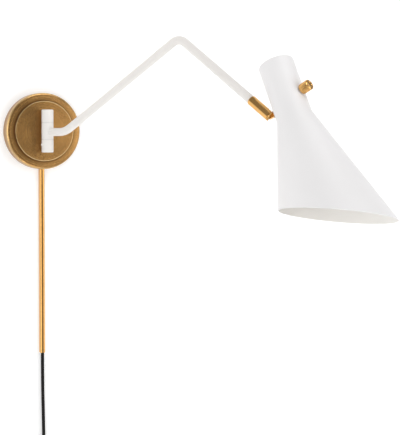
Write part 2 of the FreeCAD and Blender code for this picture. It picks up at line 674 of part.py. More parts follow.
def shade():
    """Straight neck and coaxial cone in one thin wall, cut off by a tilted plane."""
    outer_foot = NECK_R + CONE_REACH * CONE_SLOPE
    outer = shade_blank(NECK_R, outer_foot, NECK_LONG, CONE_REACH)
    rim = [e for e in outer.Edges if abs(e.CenterOfMass.z - NECK_LONG) < SAME]
    outer = outer.makeFillet(NECK_EDGE_R, rim)
    inner_r = NECK_R - SHADE_WALL
    wall_shift = SHADE_WALL * math.tan(math.radians(CONE_HALF_ANGLE / 2))
    inner_foot = inner_r + (CONE_REACH + THROUGH - wall_shift) * CONE_SLOPE
    inner_top = NECK_LONG - SHADE_WALL
    inner_edge = NECK_EDGE_R - SHADE_WALL
    inner = turned([(0, inner_top), (inner_r - inner_edge, inner_top), (inner_r, inner_top - inner_edge),
                    (inner_r, -wall_shift), (inner_foot, -CONE_REACH - THROUGH), (0, -CONE_REACH - THROUGH)])
    body = outer.cut(inner)
    body = body.cut(cut_block())
    low = inner_top - THROUGH
    deep = SHADE_WALL + 2 * THROUGH
    body = body.cut(rod(NIPPLE_R, deep, V(0, 0, low)))
    for k in range(VENT_COUNT):
        angle = math.radians((k + 0.5) * 360 / VENT_COUNT)
        body = body.cut(rod(VENT_HOLE_R, deep, V(VENT_R * math.cos(angle), VENT_R * math.sin(angle), low)))
    body = body.cut(rod(FOOT_STUD_R, WALL_CUT, V(-NECK_R - THROUGH, TONGUE_MIDDLE, FOOT_Z), X_AXIS))
    bush_hole = rod(BUSH_R, WALL_CUT, V(NECK_R + THROUGH - WALL_CUT, 0, SWITCH_Z), X_AXIS)
    bush_hole.rotate(V(), Z_AXIS, SWITCH_TURN)
    return body.cut(bush_hole)


def cut_block():
    """Everything below the plane that cuts the cone off."""
    size = 2 * CONE_REACH
    tool = block(V(-size / 2, -size / 2, -size), V(size / 2, size / 2, 0))
    tool.rotate(V(), Y_AXIS, CUT_TILT)
    tool.translate(V(0, 0, -CUT_ALONG))
    return tool


def lamp_nipple():
    bottom = -SOCKET_TOP - NIPPLE_SEAT
    return ring(NIPPLE_R, NIPPLE_BORE_R, NECK_LONG + NIPPLE_SEAT - bottom, V(0, 0, bottom))


def nipple_nut():
    start = NECK_LONG - SHADE_WALL - NIPPLE_NUT_THICK
    return hexagon(NIPPLE_NUT_FLATS, NIPPLE_NUT_THICK, V(0, 0, start), Z_AXIS, NIPPLE_R)


def neck_finial():
    """Domed brass nut on the neck's top."""
    base = NECK_LONG
    cap = turned([(0, base), (FINIAL_R, base), (FINIAL_R, base + FINIAL_EDGE),
                  (FINIAL_SHOULDER_R, base + FINIAL_SHOULDER), (FINIAL_CROWN_R, base + FINIAL_TALL),
                  (0, base + FINIAL_TALL)])
    return cap.cut(rod(NIPPLE_R, NIPPLE_SEAT, V(0, 0, base)))


def socket_low():
    return -SOCKET_TOP - SOCKET_CAP_TALL - SOCKET_LONG


def socket_cap():
    top = -SOCKET_TOP
    low = top - SOCKET_CAP_TALL
    cap = turned([(0, top), (SOCKET_CAP_R - SOCKET_EDGE, top), (SOCKET_CAP_R, top - SOCKET_EDGE),
                  (SOCKET_CAP_R, top - SOCKET_CAP_TALL / 2), (SOCKET_R, low), (0, low)])
    hollow = rod(SOCKET_CAP_R - SOCKET_CAP_WALL, SOCKET_CAP_TALL - SOCKET_CAP_WALL, V(0, 0, low))
    return cap.cut(hollow).cut(rod(NIPPLE_R, SOCKET_CAP_TALL, V(0, 0, low)))


def lamp_socket():
    low = socket_low()
    high = low + SOCKET_LONG
    mouth_r = SOCKET_R - SOCKET_EDGE
    body = turned([(0, high), (SOCKET_R, high), (SOCKET_R, low + SOCKET_EDGE), (mouth_r, low), (0, low)])
    return body.cut(rod(SCREW_R + SHELL_THICK, SCREW_DEPTH, V(0, 0, low)))


def socket_shell():
    low = socket_low()
    return ring(SCREW_R + SHELL_THICK, SCREW_R, SHELL_LONG, V(0, 0, low + SHELL_THICK))


def socket_contact():
    return rod(CONTACT_R, CONTACT_THICK, V(0, 0, socket_low() + SCREW_DEPTH - CONTACT_THICK))


# Switch and knob

def switch_body():
    front = NECK_R - SHADE_WALL - SWITCH_FLAT
    body = rod(SWITCH_R, SWITCH_DEPTH, V(front - SWITCH_DEPTH, 0, SWITCH_Z), X_AXIS)
    body = body.common(block(V(0, -SWITCH_R, SWITCH_Z - SWITCH_HALF), V(NECK_R, SWITCH_R, SWITCH_Z + SWITCH_HALF)))
    corner_clear = rod(NECK_R - SHADE_WALL - FACE_GAP, 2 * SWITCH_R, V(0, 0, SWITCH_Z - SWITCH_R))
    body = body.common(corner_clear)
    bush = rod(BUSH_R, NECK_R + BUSH_PROUD - front, V(front, 0, SWITCH_Z), X_AXIS)
    bore_start = front - SHAFT_DEPTH
    bore = rod(SHAFT_R + RUN_GAP, NECK_R + BUSH_PROUD - bore_start, V(bore_start, 0, SWITCH_Z), X_AXIS)
    return body.fuse(bush).cut(bore)


def switch_nut():
    return hexagon(SWITCH_NUT_FLATS, SWITCH_NUT_THICK, V(NECK_R, 0, SWITCH_Z), X_AXIS, BUSH_R)


def switch_shaft():
    start = NECK_R - SHADE_WALL - SWITCH_FLAT - SHAFT_DEPTH + FACE_GAP
    end = NECK_R + KNOB_GAP + SHAFT_SEAT
    return rod(SHAFT_R, end - start, V(start, 0, SWITCH_Z), X_AXIS)


def switch_knob():
    base = NECK_R + KNOB_GAP
    end_r = KNOB_R - KNOB_EDGE
    dish = KNOB_LONG - KNOB_CAP_SINK
    knob = turned([(0, 0), (end_r, 0), (KNOB_R, KNOB_EDGE), (KNOB_R, KNOB_LONG - KNOB_EDGE), (end_r, KNOB_LONG),
                   (KNOB_CAP_R, KNOB_LONG), (KNOB_CAP_R - KNOB_CAP_SINK, dish), (0, dish)])
    flutes = []
    for k in range(KNOB_FLUTES):
        angle = math.radians(k * 360 / KNOB_FLUTES)
        radius = KNOB_R + FLUTE_R - FLUTE_SINK
        flutes.append(rod(FLUTE_R, KNOB_LONG, V(radius * math.cos(angle), radius * math.sin(angle), 0)))
    knob = knob.cut(flutes)
    knob = knob.cut(rod(KNOB_RECESS_R, KNOB_RECESS_DEPTH))
    knob = knob.cut(rod(SHAFT_R, SHAFT_SEAT))
    knob = knob.cut(rod(GRUB_R, KNOB_R, V(0, 0, grub_height()), X_AXIS))
    knob.rotate(V(), Y_AXIS, 90)
    knob.translate(V(base, 0, SWITCH_Z))
    return knob


def grub_height():
    return (KNOB_RECESS_DEPTH + SHAFT_SEAT) / 2


def knob_grub_screw():
    grub = rod(GRUB_R, GRUB_LONG, V(SHAFT_R, 0, grub_height()), X_AXIS)
    grub = grub.cut(hexagon(GRUB_R, GRUB_SINK, V(SHAFT_R + GRUB_LONG - GRUB_SINK, 0, grub_height()), X_AXIS))
    grub.rotate(V(), Y_AXIS, 90)
    grub.translate(V(NECK_R + KNOB_GAP, 0, SWITCH_Z))
    return grub


# Cord cover and lead

def cover_bar(half, depth, corner):
    bar = block(V(COVER_X - half, -depth, COVER_END), V(COVER_X + half, 0, COVER_TOP))
    edges = [e for e in bar.Edges if abs(e.CenterOfMass.y + depth) < SAME and e.Length > COVER_LONG / 2]
    return bar.makeFillet(corner, edges)


def cord_cover():
    outer = cover_bar(COVER_WIDTH / 2, COVER_DEPTH, COVER_EDGE_R)
    inner = cover_bar(COVER_WIDTH / 2 - COVER_WALL, COVER_DEPTH - COVER_WALL, COVER_EDGE_R - COVER_WALL)
    return outer.cut(inner)


def cord_grommet():
    inner = cover_bar(COVER_WIDTH / 2 - COVER_WALL, COVER_DEPTH - COVER_WALL, COVER_EDGE_R - COVER_WALL)
    low = V(COVER_X - COVER_WIDTH, -COVER_DEPTH, COVER_END)
    piece = inner.common(block(low, V(COVER_X + COVER_WIDTH, 0, COVER_END + GROMMET_LONG)))
    return piece.cut(rod(LEAD_R, GROMMET_LONG, V(COVER_X, -LEAD_OUT, COVER_END)))


def cover_clips():
    half = COVER_WIDTH / 2 - COVER_WALL
    clips = []
    for k in range(CLIP_COUNT):
        middle = COVER_TOP - COVER_LONG * (k + 0.5) / CLIP_COUNT
        low = V(COVER_X - half, -CLIP_REACH, middle - CLIP_TALL / 2)
        clip = block(low, V(COVER_X + half, 0, middle + CLIP_TALL / 2))
        gap = block(V(low.x + CLIP_THICK, low.y - THROUGH, low.z - THROUGH),
                    V(COVER_X + half - CLIP_THICK, -CLIP_THICK, middle + CLIP_TALL))
        clips.append(clip.cut(gap))
    return Part.makeCompound(clips)


def lead_in_cover():
    return rod(LEAD_R, LEAD_TOP - COVER_END, V(COVER_X, -LEAD_OUT, COVER_END))


def lead_coil():
    back = -WALL_CLEAR - COIL_DEPTH
    return ring(COIL_OUTER, COIL_INNER, COIL_DEPTH, V(COIL_X, back, COIL_Z), Y_AXIS)


def coil_tie():
    """Strap round all the turns, on the side where the lead comes in."""
    low = V(COIL_X - COIL_OUTER - TIE_GAP, -WALL_CLEAR - COIL_DEPTH - TIE_GAP, COIL_Z - TIE_TALL / 2)
    inner = math.sqrt(COIL_INNER ** 2 - (TIE_TALL / 2) ** 2)
    high = V(COIL_X - inner + TIE_GAP, -WALL_CLEAR + TIE_GAP, COIL_Z + TIE_TALL / 2)
    skin = V(TIE_THICK, TIE_THICK, 0)
    grow = V(0, 0, THROUGH)
    outer_high = V(high.x + TIE_THICK, min(high.y + TIE_THICK, 0), high.z)
    return block(low - skin, outer_high).cut(block(low - grow, high + grow))


def plug_relief():
    top = TAIL_ROUTE[-1]
    return Part.makeCone(RELIEF_FOOT_R, RELIEF_TIP_R, RELIEF_LONG, V(top.x, top.y, top.z - RELIEF_LONG), Z_AXIS)


def plug_top():
    return TAIL_ROUTE[-1] - V(0, 0, RELIEF_LONG)


def plug_body():
    top = plug_top()
    body = block(V(top.x - PLUG_WIDTH / 2, top.y - PLUG_DEPTH / 2, top.z - PLUG_LONG),
                 V(top.x + PLUG_WIDTH / 2, top.y + PLUG_DEPTH / 2, top.z))
    upright = [e for e in body.Edges if abs(e.tangentAt(e.FirstParameter).z) > 0.9]
    body = body.makeFillet(PLUG_CORNER_R, upright)
    for blade in blade_boxes():
        body = body.cut(blade)
    return body


def blade_boxes():
    top = plug_top()
    low = top.z - PLUG_LONG - BLADE_LONG
    boxes = []
    for side in (-1, 1):
        x = top.x + side * BLADE_SPACING / 2
        boxes.append(block(V(x - BLADE_THICK / 2, top.y - BLADE_WIDTH / 2, low),
                           V(x + BLADE_THICK / 2, top.y + BLADE_WIDTH / 2, top.z - PLUG_LONG + BLADE_ROOT)))
    return boxes


def build():
    os.makedirs("parts", exist_ok=True)
    save("wall_bracket", wall_bracket())
    save("ground_screw", ground_screw())
    save("canopy", canopy())
    save("canopy_disc", canopy_disc())
    save("hinge_bracket", hinge_bracket())
    save("hinge_set_screw", hinge_set_screw())
    save("pivot_tube", pivot_tube())
    save("barrel_caps", barrel_caps())
    save("thrust_washers", thrust_washers())
    save("stem_washer", stem_washer())
    save("stem_nut", stem_nut())
    save("wire_nuts", wire_nuts())
    save("white_wires", splice_wires("white_wires", -1))
    save("black_wires", splice_wires("black_wires", 1))
    save("cord_cover", cord_cover())
    save("cord_grommet", cord_grommet())
    save("cover_clips", cover_clips())
    save("lead_in_cover", lead_in_cover())
    save("lead", cord("lead", LEAD_ROUTE, LEAD_R))
    save("lead_coil", lead_coil())
    save("lead_tail", cord("lead_tail", TAIL_ROUTE, LEAD_R))
    save("coil_tie", coil_tie())
    save("plug_relief", plug_relief())
    save("plug_body", plug_body())
    save("plug_blades", Part.makeCompound(blade_boxes()))
    save("arm_knuckle", arm_knuckle(), ARM_FRAME)
    save("arm_tube", arm_tube(), ARM_FRAME)
    save("arm_wire", arm_wire(), ARM_FRAME)
    save("arm_stud", arm_stud(), ARM_END_FRAME)
    save("stud_nut", stud_nut(), ARM_END_FRAME)
    save("swivel_sleeve", swivel_sleeve(), SWIVEL_FRAME)
    save("knuckle_end", knuckle_end(), SWIVEL_FRAME)
    save("pivot_screw", pivot_screw(), SWIVEL_FRAME)
    save("spring_washer", spring_washer(), SWIVEL_FRAME)
    save("knuckle_tongue", knuckle_tongue(), SHADE_FRAME)
    save("foot_nut", foot_nut(), SHADE_FRAME)
    save("shade", shade(), SHADE_FRAME)
    save("lamp_nipple", lamp_nipple(), SHADE_FRAME)
    save("nipple_nut", nipple_nut(), SHADE_FRAME)
    save("neck_finial", neck_finial(), SHADE_FRAME)
    save("socket_cap", socket_cap(), SHADE_FRAME)
    save("lamp_socket", lamp_socket(), SHADE_FRAME)
    save("socket_shell", socket_shell(), SHADE_FRAME)
    save("socket_contact", socket_contact(), SHADE_FRAME)
    save("switch_body", switch_body(), SWITCH_FRAME)
    save("switch_nut", switch_nut(), SWITCH_FRAME)
    save("switch_shaft", switch_shaft(), SWITCH_FRAME)
    save("switch_knob", switch_knob(), SWITCH_FRAME)
    save("knob_grub_screw", knob_grub_screw(), SWITCH_FRAME)
    print("arm tip frame", ARM_END_FRAME.Base, ARM_END_FRAME.Rotation.multVec(X_AXIS))
    print("pivot", PIVOT_FRAME.Base, "axis", PIVOT_FRAME.Rotation.multVec(Y_AXIS))
    print("shade frame", SHADE_FRAME.Base, "up", SHADE_FRAME.Rotation.multVec(Z_AXIS),
          "knob way", SWITCH_FRAME.Rotation.multVec(X_AXIS))


build()
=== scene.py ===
import bpy
import json
import math
from mathutils import Matrix, Vector


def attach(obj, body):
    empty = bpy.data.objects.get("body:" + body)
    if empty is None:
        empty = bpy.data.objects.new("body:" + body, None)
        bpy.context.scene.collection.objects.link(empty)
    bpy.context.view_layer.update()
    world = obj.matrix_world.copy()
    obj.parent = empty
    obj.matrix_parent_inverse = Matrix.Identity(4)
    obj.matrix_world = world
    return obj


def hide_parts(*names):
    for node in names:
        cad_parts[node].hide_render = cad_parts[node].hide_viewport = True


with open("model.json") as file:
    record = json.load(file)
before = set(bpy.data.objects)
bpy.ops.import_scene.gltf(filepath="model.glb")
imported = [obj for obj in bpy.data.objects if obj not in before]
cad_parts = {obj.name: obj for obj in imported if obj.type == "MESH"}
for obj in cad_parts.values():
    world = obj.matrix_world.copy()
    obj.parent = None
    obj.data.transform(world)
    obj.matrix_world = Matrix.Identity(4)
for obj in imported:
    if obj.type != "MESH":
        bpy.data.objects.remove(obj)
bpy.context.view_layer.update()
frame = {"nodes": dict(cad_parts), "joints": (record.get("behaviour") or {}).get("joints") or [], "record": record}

# Plug-in swing arm wall sconce: the finishes, the free lead and the finer pieces, in metres.
# +X runs right along the wall, +Y into the wall, +Z up. The origin is on the wall, at the canopy's centre.

MM = 0.001
JOINTS = {joint["name"]: joint for joint in frame["joints"]}
MOUNTS = {mount["name"]: mount for mount in frame["record"]["mounts"]}

# Canopy
CANOPY_R = 62.5 * MM
CANOPY_DEPTH = 21 * MM
CANOPY_WALL = 1.2 * MM
SHOULDER_WIDE = 5 * MM
SHOULDER_DEEP = 3 * MM
STEM_R = 4.8 * MM
DISC_FACE = 26.2 * MM
NOTCH_HALF = 3.35 * MM
NOTCH_DEEP = 8.55 * MM
COVER_X = 1 * MM

# Splice caps
CAP_BASE_R = 4.6 * MM
CAP_TIP_R = 2.6 * MM
CAP_LONG = 15 * MM
CAP_RIBS = 12
CAP_GROOVE = 0.86
CAP_X = 20 * MM
CAP_OUT = 10 * MM
CAP_Z = 22 * MM

# Neck and shade
NECK_R = 24.9 * MM
NECK_LONG = 83.9 * MM
SHADE_WALL = 1.2 * MM
CONE_HALF_ANGLE = math.radians(17.1)
CONE_REACH = 230 * MM
CUT_ALONG = 147 * MM
CUT_TILT = math.radians(26.1)
NECK_EDGE_R = 2 * MM
NIPPLE_R = 4.8 * MM
VENT_R = 15.5 * MM
VENT_HOLE_R = 2 * MM
VENT_COUNT = 8
SWITCH_TURN = math.radians(-12)
SWITCH_Z = 28.5 * MM

EASED_EDGE = 0.3 * MM

# Knob
KNOB_GAP = 0.9 * MM
KNOB_LONG = 14.6 * MM
KNOB_R = 7.4 * MM
KNOB_RIBS = 40
KNOB_RIB_DEEP = 0.22 * MM
KNOB_EDGE = 0.9 * MM
RIB_EDGE = 0.12 * MM
KNOB_RECESS_R = 5.42 * MM
KNOB_RECESS_DEPTH = 3.6 * MM
KNOB_CAP_R = 4.6 * MM

# Finial
FINIAL_BEAD_R = 8 * MM
FINIAL_ROUND = 0.8 * MM
FINIAL_DOME_R = 6.9 * MM
FINIAL_FOOT = 1.7 * MM
FINIAL_RISE = 3.3 * MM

# Lead, coil and plug
LEAD_R = 2.75 * MM
COIL_R = 31 * MM
COIL_X = 39.2 * MM
COIL_Z = -555 * MM
TURN_STEP = 5.6 * MM
TURN_POINTS = 20
CROSSING = math.radians(40)
CROSSING_START = math.radians(300)
TIE_LOW = Vector((-1.9, -19.0, -561.0)) * MM
TIE_HIGH = Vector((19.1, 0.0, -549.0)) * MM
TIE_THICK = 1.2 * MM
TIE_CORNER_R = 4.5 * MM
PLUG_TOP = Vector((1.9, -11.8, -629.25)) * MM
BOOT_LONG = 20 * MM
BOOT_FOOT_R = 5.6 * MM
BOOT_TIP_R = 3.6 * MM
BOOT_GROOVES = 5
BOOT_GROOVE_DEEP = 0.7 * MM
PLUG_SIZE = Vector((23, 14, 26)) * MM
PLUG_CUTS = 12
WAIST_HALF = 6.5 * MM
GRIP_HALF_WIDE = 8 * MM
GRIP_HALF_TALL = 9 * MM
BLADE_SPACING = 12.7 * MM
BLADE_SIZE = Vector((1.5, 6.3, 23)) * MM
BLADE_ROOT = 6 * MM
BLADE_HOLE_R = 1.6 * MM
BLADE_HOLE_UP = 4.5 * MM

# Bodies
WALL_MOUNT = "wall_mount"
SHADE = "shade"
KNOB = "knob"


# Frames of the turned bodies

def frame_from(origin, up, across):
    """A placement with Z along up and X along across."""
    along = up.cross(across)
    turn = Matrix((across, along, up)).transposed().to_4x4()
    return Matrix.Translation(origin) @ turn


KNOB_WAY = Vector(JOINTS["switch_turn"]["axis"]).normalized()
NECK_UP = -Vector(MOUNTS["lamp_socket"]["axis"]).normalized()
SWITCH_PLACE = Vector(JOINTS["switch_turn"]["pos_m"])
NECK_FOOT = SWITCH_PLACE - KNOB_WAY * NECK_R - NECK_UP * SWITCH_Z
SHADE_FRAME = frame_from(NECK_FOOT, NECK_UP, KNOB_WAY) @ Matrix.Rotation(-SWITCH_TURN, 4, "Z")
KNOB_FRAME = frame_from(SWITCH_PLACE + KNOB_WAY * KNOB_GAP, KNOB_WAY, -NECK_UP)


# Shader maths

class Value:
    """A number, colour or vector that varies over a surface; arithmetic on it adds Math nodes."""

    def __init__(self, finish, socket):
        self.finish = finish
        self.socket = socket

    def math(self, operation, first, second=None):
        inputs = {0: first}
        if second is not None:
            inputs[1] = second
        return self.finish.node("ShaderNodeMath", {"operation": operation}, inputs)

    def __add__(self, other):
        return self.math("ADD", self, other)

    def __sub__(self, other):
        return self.math("SUBTRACT", self, other)

    def __mul__(self, other):
        return self.math("MULTIPLY", self, other)

    def __rsub__(self, other):
        return self.math("SUBTRACT", other, self)

    def __pow__(self, other):
        return self.math("POWER", self, other)

    __radd__ = __add__
    __rmul__ = __mul__

    def clamped(self):
        return self.math("MINIMUM", self.math("MAXIMUM", self, 0.0), 1.0)


class Finish:
    """One procedural material on a Principled shader."""

    def __init__(self, name, metallic=0.0, roughness=0.5, ior=1.5):
        self.material = bpy.data.materials.new(name)
        self.material.use_nodes = True
        self.tree = self.material.node_tree
        self.shader = self.tree.nodes["Principled BSDF"]
        self.shader.inputs["Metallic"].default_value = metallic
        self.shader.inputs["Roughness"].default_value = roughness
        self.shader.inputs["IOR"].default_value = ior

    def node(self, kind, settings=None, inputs=None, output=0):
        """Adds any node: its settings first, then the values or links of its sockets."""
        made = self.tree.nodes.new(kind)
        for key, value in (settings or {}).items():
            setattr(made, key, value)
        for key, value in (inputs or {}).items():
            if isinstance(value, Value):
                self.tree.links.new(value.socket, made.inputs[key])
            else:
                made.inputs[key].default_value = value
        return Value(self, made.outputs[output])

    def feed(self, socket, value):
        self.tree.links.new(value.socket, self.shader.inputs[socket])

    def place(self):
        return self.node("ShaderNodeTexCoord", output="Object")

    def stretched(self, vector, scale):
        return self.node("ShaderNodeMapping", {"vector_type": "POINT"}, {"Vector": vector, "Scale": scale})

    def split(self, vector):
        made = self.node("ShaderNodeSeparateXYZ", inputs={0: vector}).socket.node
        return [Value(self, socket) for socket in made.outputs]

    def grain(self, vector, scale, detail=2.0, roughness=0.5):
        """Soft noise from 0 to 1; scale counts waves in a metre."""
        return self.node("ShaderNodeTexNoise", {"noise_dimensions": "3D"},
                         {"Vector": vector, "Scale": scale, "Detail": detail, "Roughness": roughness})

    def grain_along(self, value, scale, detail=2.0):
        """Noise that changes along one value only, as the lines of a lathe do."""
        return self.node("ShaderNodeTexNoise", {"noise_dimensions": "1D"},
                         {"W": value, "Scale": scale, "Detail": detail, "Roughness": 0.6})

    def tint(self, factor, dark, light):
        return self.node("ShaderNodeMix", {"data_type": "RGBA"},
                         {"Factor": factor, 6: (*dark, 1.0), 7: (*light, 1.0)}, output=2)

    def over(self, factor, under, top):
        """Colour top laid over colour under where factor is 1; each is a link or a plain colour."""
        colours = [c if isinstance(c, Value) else (*c, 1.0) for c in (under, top)]
        return self.node("ShaderNodeMix", {"data_type": "RGBA"},
                         {"Factor": factor, 6: colours[0], 7: colours[1]}, output=2)

    def step(self, value, low, high):
        """0 below low, 1 above high, smooth between."""
        return self.node("ShaderNodeMapRange", {"interpolation_type": "SMOOTHSTEP"},
                         {"Value": value, "From Min": low, "From Max": high})

    def bump(self, height, distance):
        """Height from 0 to 1 stands for this distance in metres."""
        normal = self.node("ShaderNodeBump", inputs={"Strength": 1.0, "Distance": distance, "Height": height})
        self.feed("Normal", normal)


def distance_from(first, second):
    """Distance from an axis, from the two coordinates across it."""
    return (first * first + second * second) ** 0.5


# Finishes

def satin_brass():
    """Antique brass turned on a lathe: fine concentric lines, a browner patina in bands, painted shade in the
    corner round the disc, and edge wear with painted highlights on the disc's chamfer and the rim's shoulder.
    """
    finish = Finish("satin_brass", metallic=1.0, roughness=0.34)
    x, y, z = finish.split(finish.place())
    radius = distance_from(x, z)
    lines = finish.grain_along(radius, 2600, 3.0)
    broad = finish.grain_along(radius, 240, 2.0)
    cloud = finish.grain(finish.place(), 38, 3.0, 0.6)
    out = 0 - y
    on_disc = finish.step(out, CANOPY_DEPTH + 0.3 * MM, CANOPY_DEPTH + 0.8 * MM)
    near_face = finish.step(out, DISC_FACE - 1.2 * MM, DISC_FACE - 0.8 * MM)
    # Brighter brass on the disc's chamfer and on the rim's shoulder: partly edge wear, partly painted highlights
    # for the bright lines these edges catch.
    chamfer_wear_and_highlight = finish.step(radius, 47.9 * MM, 48.3 * MM) * near_face
    rim_wear_and_highlight = finish.step(radius, 59.6 * MM, 61.4 * MM) * finish.step(out, 14.5 * MM, 17.5 * MM)
    wear_and_highlight = (chamfer_wear_and_highlight * 0.9 + rim_wear_and_highlight * 0.5).clamped()
    # Painted shade: darker, rougher brass in the corner round the disc, standing for the shadow that falls there.
    painted_corner_shade = (1 - finish.step(radius, 49.4 * MM, 53.6 * MM)) * (1 - on_disc)
    shade = (lines * 0.40 + broad * 0.45 + cloud * 0.30 - 0.05).clamped()
    metal = finish.tint(shade, (0.235, 0.117, 0.037), (0.56, 0.31, 0.105))
    metal_with_painted_shade = finish.over(painted_corner_shade * 0.75, metal, (0.10, 0.045, 0.014))
    finish.feed("Base Color", finish.over(wear_and_highlight, metal_with_painted_shade, (0.95, 0.70, 0.36)))
    finish.feed("Roughness", 0.20 + cloud * 0.08 + lines * 0.06 + painted_corner_shade * 0.2)
    finish.bump(lines * (1 - chamfer_wear_and_highlight), 0.00012)
    return finish.material


def polished_brass():
    """Bright brass with faint handling marks."""
    finish = Finish("polished_brass", metallic=1.0, roughness=0.2)
    place = finish.place()
    cloud = finish.grain(place, 60, 3.0, 0.6)
    fine = finish.grain(place, 1900, 2.0)
    metal = finish.tint(cloud * 0.7 + fine * 0.3, (0.66, 0.355, 0.115), (0.84, 0.50, 0.175))
    finish.feed("Base Color", metal)
    finish.feed("Roughness", 0.08 + cloud * 0.08 + fine * 0.04)
    finish.bump(fine, 0.000012)
    return finish.material


def cover_brass():
    """Polished brass of the long cover, with fine lines drawn along it."""
    finish = Finish("cover_brass", metallic=1.0, roughness=0.2)
    place = finish.place()
    cloud = finish.grain(place, 60, 3.0, 0.6)
    drawn = finish.grain(finish.stretched(place, (1, 1, 0.02)), 1500, 3.0)
    metal = finish.tint((cloud * 0.5 + drawn * 0.5).clamped(), (0.66, 0.335, 0.100), (0.86, 0.50, 0.170))
    finish.feed("Base Color", metal)
    finish.feed("Roughness", 0.08 + cloud * 0.08)
    finish.bump(drawn, 0.00002)
    return finish.material


def white_paint(name, dark, light, rough):
    """Matte powder coat: very fine orange peel, a little uneven in colour."""
    finish = Finish(name, roughness=rough)
    place = finish.place()
    peel = finish.grain(place, 1400, 2.0, 0.55)
    speck = finish.grain(place, 4200, 1.0)
    cloud = finish.grain(place, 16, 3.0, 0.5)
    finish.feed("Base Color", finish.tint((cloud * 0.7 + peel * 0.3).clamped(), dark, light))
    finish.feed("Roughness", rough - 0.05 + peel * 0.1 + cloud * 0.04)
    finish.bump(peel * 0.8 + speck * 0.2, 0.00006)
    return finish.material


def zinc_steel():
    """Zinc plate with a faint spangle."""
    finish = Finish("zinc_steel", metallic=1.0, roughness=0.35)
    place = finish.place()
    spangle = finish.node("ShaderNodeTexVoronoi", {"feature": "F1"}, {"Vector": place, "Scale": 420.0})
    cloud = finish.grain(place, 90, 3.0)
    metal = finish.tint(spangle * 0.5 + cloud * 0.5, (0.42, 0.42, 0.40), (0.66, 0.66, 0.64))
    finish.feed("Base Color", metal)
    finish.feed("Roughness", 0.28 + spangle * 0.2)
    finish.bump(cloud, 0.00005)
    return finish.material


def green_screw():
    """Green dye on steel, worn in places."""
    finish = Finish("green_screw", metallic=0.6, roughness=0.35)
    place = finish.place()
    wear = finish.grain(place, 700, 3.0)
    finish.feed("Base Color", finish.tint(wear, (0.02, 0.15, 0.05), (0.09, 0.34, 0.13)))
    finish.feed("Roughness", 0.25 + wear * 0.25)
    return finish.material


def moulded(name, dark, light, rough, texture_scale=2600, texture_depth=0.00003, ior=1.5):
    """Moulded plastic or rubber: an even colour with a spark-eroded texture."""
    finish = Finish(name, roughness=rough, ior=ior)
    place = finish.place()
    pits = finish.grain(place, texture_scale, 2.0, 0.6)
    cloud = finish.grain(place, 80, 2.0)
    finish.feed("Base Color", finish.tint((pits * 0.4 + cloud * 0.6).clamped(), dark, light))
    finish.feed("Roughness", rough - 0.06 + pits * 0.14)
    finish.bump(pits, texture_depth)
    return finish.material


def arm_cable():
    """Pale sleeve with a fine weave."""
    finish = Finish("arm_cable", roughness=0.45)
    place = finish.place()
    weave = finish.node("ShaderNodeTexVoronoi", {"feature": "F1"}, {"Vector": place, "Scale": 1300.0})
    finish.feed("Base Color", finish.tint(weave, (0.55, 0.53, 0.48), (0.80, 0.78, 0.73)))
    finish.bump(weave, 0.0001)
    return finish.material


FINISHES = {
    "satin_brass": satin_brass(),
    "polished_brass": polished_brass(),
    "cover_brass": cover_brass(),
    "white_coat": white_paint("white_coat", (0.83, 0.80, 0.768), (0.88, 0.85, 0.818), 0.48),
    "shade_coat": white_paint("shade_coat", (0.84, 0.828, 0.830), (0.90, 0.888, 0.890), 0.48),
    # The shade's inside: a warmer white than the outside, painted to stand for warm bounce light inside the shade.
    "shade_inside_painted_bounce": white_paint("shade_inside_painted_bounce", (0.87, 0.845, 0.81), (0.91, 0.89, 0.86), 0.55),
    "zinc_steel": zinc_steel(),
    "green_screw": green_screw(),
    "nylon": moulded("nylon", (0.62, 0.61, 0.57), (0.76, 0.75, 0.71), 0.42),
    "splice_caps": moulded("splice_caps", (0.75, 0.24, 0.03), (0.90, 0.36, 0.06), 0.38),
    "black_rubber": moulded("black_rubber", (0.012, 0.012, 0.012), (0.030, 0.030, 0.030), 0.55),
    "black_lead": moulded("black_lead", (0.006, 0.005, 0.005), (0.016, 0.015, 0.015), 0.5, ior=1.22),
    "black_tie": moulded("black_tie", (0.012, 0.012, 0.013), (0.050, 0.050, 0.052), 0.75, 1500, 0.0003),
    "black_plug": moulded("black_plug", (0.010, 0.010, 0.011), (0.026, 0.026, 0.028), 0.46),
    "plug_brass": polished_brass(),
    "arm_cable": arm_cable(),
    "socket_black": moulded("socket_black", (0.014, 0.013, 0.012), (0.034, 0.032, 0.030), 0.30),
}


def dress(piece, *names):
    """Gives a piece these finishes, in the order of its slots."""
    piece.data.materials.clear()
    for name in names:
        piece.data.materials.append(FINISHES[name])


